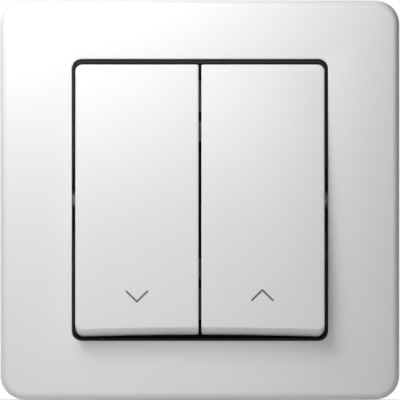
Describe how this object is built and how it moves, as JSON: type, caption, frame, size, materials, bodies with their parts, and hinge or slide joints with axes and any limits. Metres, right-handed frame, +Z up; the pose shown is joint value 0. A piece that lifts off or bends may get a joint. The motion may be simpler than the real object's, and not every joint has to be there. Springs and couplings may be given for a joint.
{
  "type": "roller shutter switch",
  "caption": "Flush wall switch with a square cover frame, dark inner bezel and a pair of side-by-side rockers, down and up, over a plate-mounted mechanism.",
  "frame": {"origin": "middle of the wall plane, behind the centre of the cover frame", "axes": "+Y into the wall, -Y towards the user, +Z up, +X to the user's right"},
  "size_m": [0.081, 0.0336, 0.081],
  "materials": {
    "white_plastic": "glossy white moulding",
    "dark_plastic": "satin anthracite moulding",
    "grey_plastic": "matt grey moulding",
    "black_plastic": "matt black moulding",
    "zinc_steel": "zinc-plated steel",
    "brass": "stamped brass",
    "spring_steel": "drawn spring wire"
  },
  "bodies": {
    "switch": {"cover_frame": "white_plastic", "trim_ring": "dark_plastic", "support_ring": "zinc_steel", "mechanism_cover": "grey_plastic", "mechanism_base": "black_plastic", "feed_strap": "brass", "link_strap": "brass", "strap_up": "brass", "strap_down": "brass", "clamp_feed": "brass", "clamp_up": "brass", "clamp_down": "brass", "clamp_screw_feed": "zinc_steel", "clamp_screw_up": "zinc_steel", "clamp_screw_down": "zinc_steel", "cover_screw_top": "zinc_steel", "cover_screw_bottom": "zinc_steel"},
    "rocker_down_body": {"rocker_down": "white_plastic", "lever_down": "grey_plastic", "snap_spring_down": "spring_steel", "plunger_down": "black_plastic"},
    "contact_down_body": {"contact_arm_down": "brass"},
    "rocker_up_body": {"rocker_up": "white_plastic", "lever_up": "grey_plastic", "snap_spring_up": "spring_steel", "plunger_up": "black_plastic"},
    "contact_up_body": {"contact_arm_up": "brass"}
  },
  "joints": [
    {"name": "rocker_down_hinge", "type": "hinge", "parent": "switch", "child": "rocker_down_body", "pos_m": [-0.01279, -0.0035, 0], "axis": [1, 0, 0], "range_deg": [0, 7]},
    {"name": "contact_down_hinge", "type": "hinge", "parent": "switch", "child": "contact_down_body", "pos_m": [-0.01279, 0.01344, 0], "axis": [1, 0, 0], "range_deg": [-16, 0]},
    {"name": "rocker_up_hinge", "type": "hinge", "parent": "switch", "child": "rocker_up_body", "pos_m": [0.01279, -0.0035, 0], "axis": [1, 0, 0], "range_deg": [0, 7]},
    {"name": "contact_up_hinge", "type": "hinge", "parent": "switch", "child": "contact_up_body", "pos_m": [0.01279, 0.01344, 0], "axis": [1, 0, 0], "range_deg": [-16, 0]}
  ],
  "couplings": [
    {"joint": "contact_down_hinge", "follows": "rocker_down_hinge", "ratio": -2.2857},
    {"joint": "contact_up_hinge", "follows": "rocker_up_hinge", "ratio": -2.2857}
  ]
}
